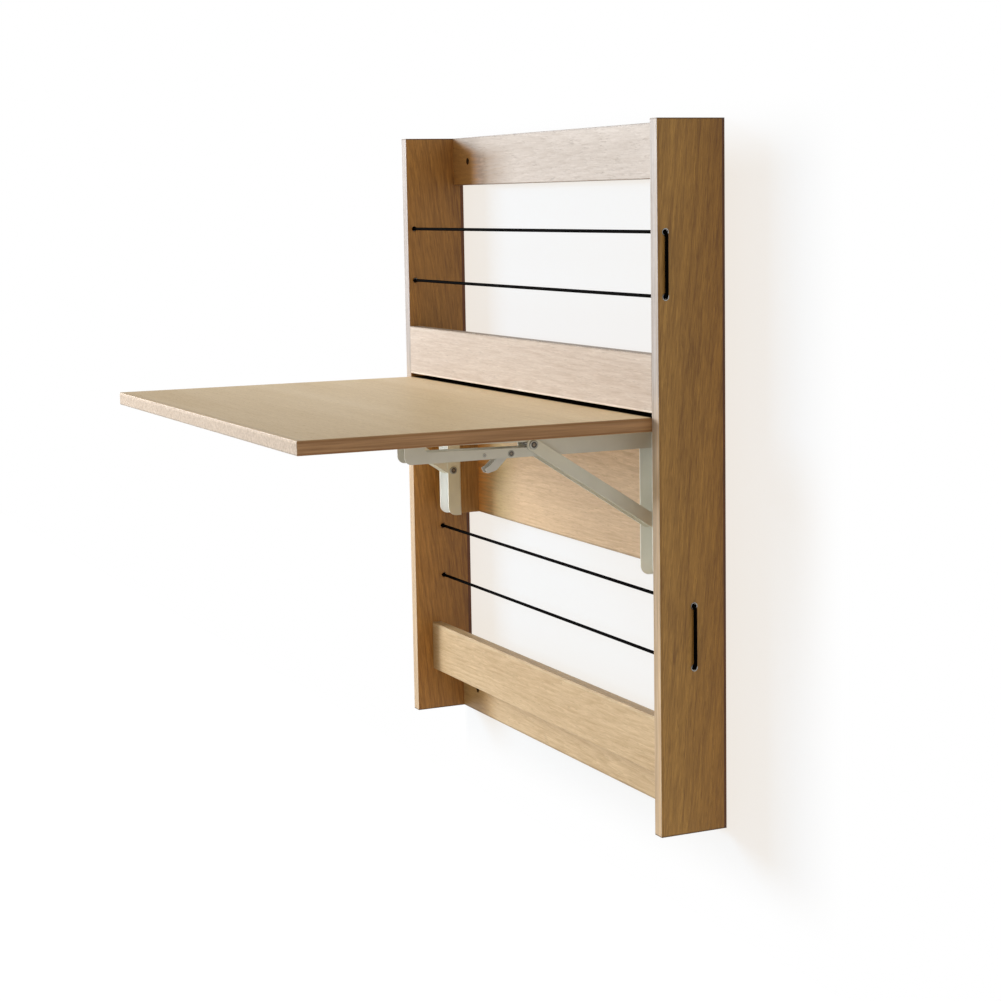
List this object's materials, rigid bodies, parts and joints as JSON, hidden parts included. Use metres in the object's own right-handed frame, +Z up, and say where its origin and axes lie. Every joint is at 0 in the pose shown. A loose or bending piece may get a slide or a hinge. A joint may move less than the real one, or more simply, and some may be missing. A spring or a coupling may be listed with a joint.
{
  "type": "wall-mounted folding desk",
  "caption": "Wall-hung oak frame of flat boards with a drop-down desktop on folding steel brackets and pairs of stretched cords above and below that hold books and papers.",
  "frame": {"origin": "on the wall plane, centre of the four wall-screw holes in the top and bottom rear rails", "axes": "+Z up, +Y into the wall, +X to the right for someone who faces the desk"},
  "size_m": [0.9128, 0.6235, 1],
  "materials": {
    "oak_board": "satin",
    "dowel_wood": "matte",
    "bracket_paint": "satin",
    "lever_paint": "satin",
    "rivet_steel": "satin",
    "zinc_screw": "satin",
    "spring_strip": "satin",
    "washer_plastic": "matte",
    "elastic_cord": "matte",
    "eyelet_metal": "polished"
  },
  "bodies": {
    "frame": {"left_side_panel": "oak_board", "right_side_panel": "oak_board", "top_rear_rail": "oak_board", "front_rail": "oak_board", "mid_rear_panel": "oak_board", "lower_front_rail": "oak_board", "bottom_rear_rail": "oak_board", "rail_dowels": "dowel_wood", "left_bracket_block": "oak_board", "right_bracket_block": "oak_board", "block_screws": "zinc_screw", "leg_screws": "zinc_screw", "pivot_washers": "washer_plastic", "upper_cord": "elastic_cord", "lower_cord": "elastic_cord", "cord_eyelets": "eyelet_metal", "cord_crimps": "eyelet_metal", "left_bracket_leg": "bracket_paint", "left_hinge_pin": "rivet_steel", "left_brace_pivots": "rivet_steel", "right_bracket_leg": "bracket_paint", "right_hinge_pin": "rivet_steel", "right_brace_pivots": "rivet_steel"},
    "desktop": {"desktop_board": "oak_board", "arm_screws": "zinc_screw", "left_bracket_arm": "bracket_paint", "left_lever_pin": "rivet_steel", "left_spring_post": "rivet_steel", "left_lever_spring": "spring_strip", "right_bracket_arm": "bracket_paint", "right_lever_pin": "rivet_steel", "right_spring_post": "rivet_steel", "right_lever_spring": "spring_strip"},
    "left_brace": {"left_brace_inner_bar": "bracket_paint", "left_brace_outer_bar": "bracket_paint", "left_brace_rivets": "rivet_steel"},
    "left_slider": {"left_slide_pin": "rivet_steel", "left_slide_bushes": "washer_plastic"},
    "left_lever": {"left_release_lever": "lever_paint"},
    "right_brace": {"right_brace_inner_bar": "bracket_paint", "right_brace_outer_bar": "bracket_paint", "right_brace_rivets": "rivet_steel"},
    "right_slider": {"right_slide_pin": "rivet_steel", "right_slide_bushes": "washer_plastic"},
    "right_lever": {"right_release_lever": "lever_paint"}
  },
  "joints": [
    {"name": "desktop_fold", "type": "hinge", "parent": "frame", "child": "desktop", "pos_m": [0, -0.0685, 0.0555], "axis": [1, 0, 0], "range_deg": [0, 90]},
    {"name": "left_brace_turn", "type": "hinge", "parent": "frame", "child": "left_brace", "pos_m": [-0.361, -0.0685, -0.0645], "axis": [1, 0, 0], "range_deg": [0, 120.9]},
    {"name": "left_slider_travel", "type": "slide", "parent": "desktop", "child": "left_slider", "axis": [0, -0.9998, 0.0191], "range_m": [0, 0.1568]},
    {"name": "left_lever_press", "type": "hinge", "parent": "desktop", "child": "left_lever", "pos_m": [-0.361, -0.295, 0.05], "axis": [-1, 0, 0], "range_deg": [0, 10], "stiffness_Nm_per_rad": 0.08, "springref_deg": -20.05},
    {"name": "right_brace_turn", "type": "hinge", "parent": "frame", "child": "right_brace", "pos_m": [0.361, -0.0685, -0.0645], "axis": [1, 0, 0], "range_deg": [0, 120.9]},
    {"name": "right_slider_travel", "type": "slide", "parent": "desktop", "child": "right_slider", "axis": [0, -0.9998, 0.0191], "range_m": [0, 0.1568]},
    {"name": "right_lever_press", "type": "hinge", "parent": "desktop", "child": "right_lever", "pos_m": [0.361, -0.295, 0.05], "axis": [-1, 0, 0], "range_deg": [0, 10], "stiffness_Nm_per_rad": 0.08, "springref_deg": -20.05}
  ],
  "couplings": [
    {"joint": "left_brace_turn", "follows": "desktop_fold", "ratio": 1.3423},
    {"joint": "left_slider_travel", "follows": "desktop_fold", "m_per_rad": 0.099741},
    {"joint": "right_brace_turn", "follows": "desktop_fold", "ratio": 1.3423},
    {"joint": "right_slider_travel", "follows": "desktop_fold", "m_per_rad": 0.099741}
  ]
}
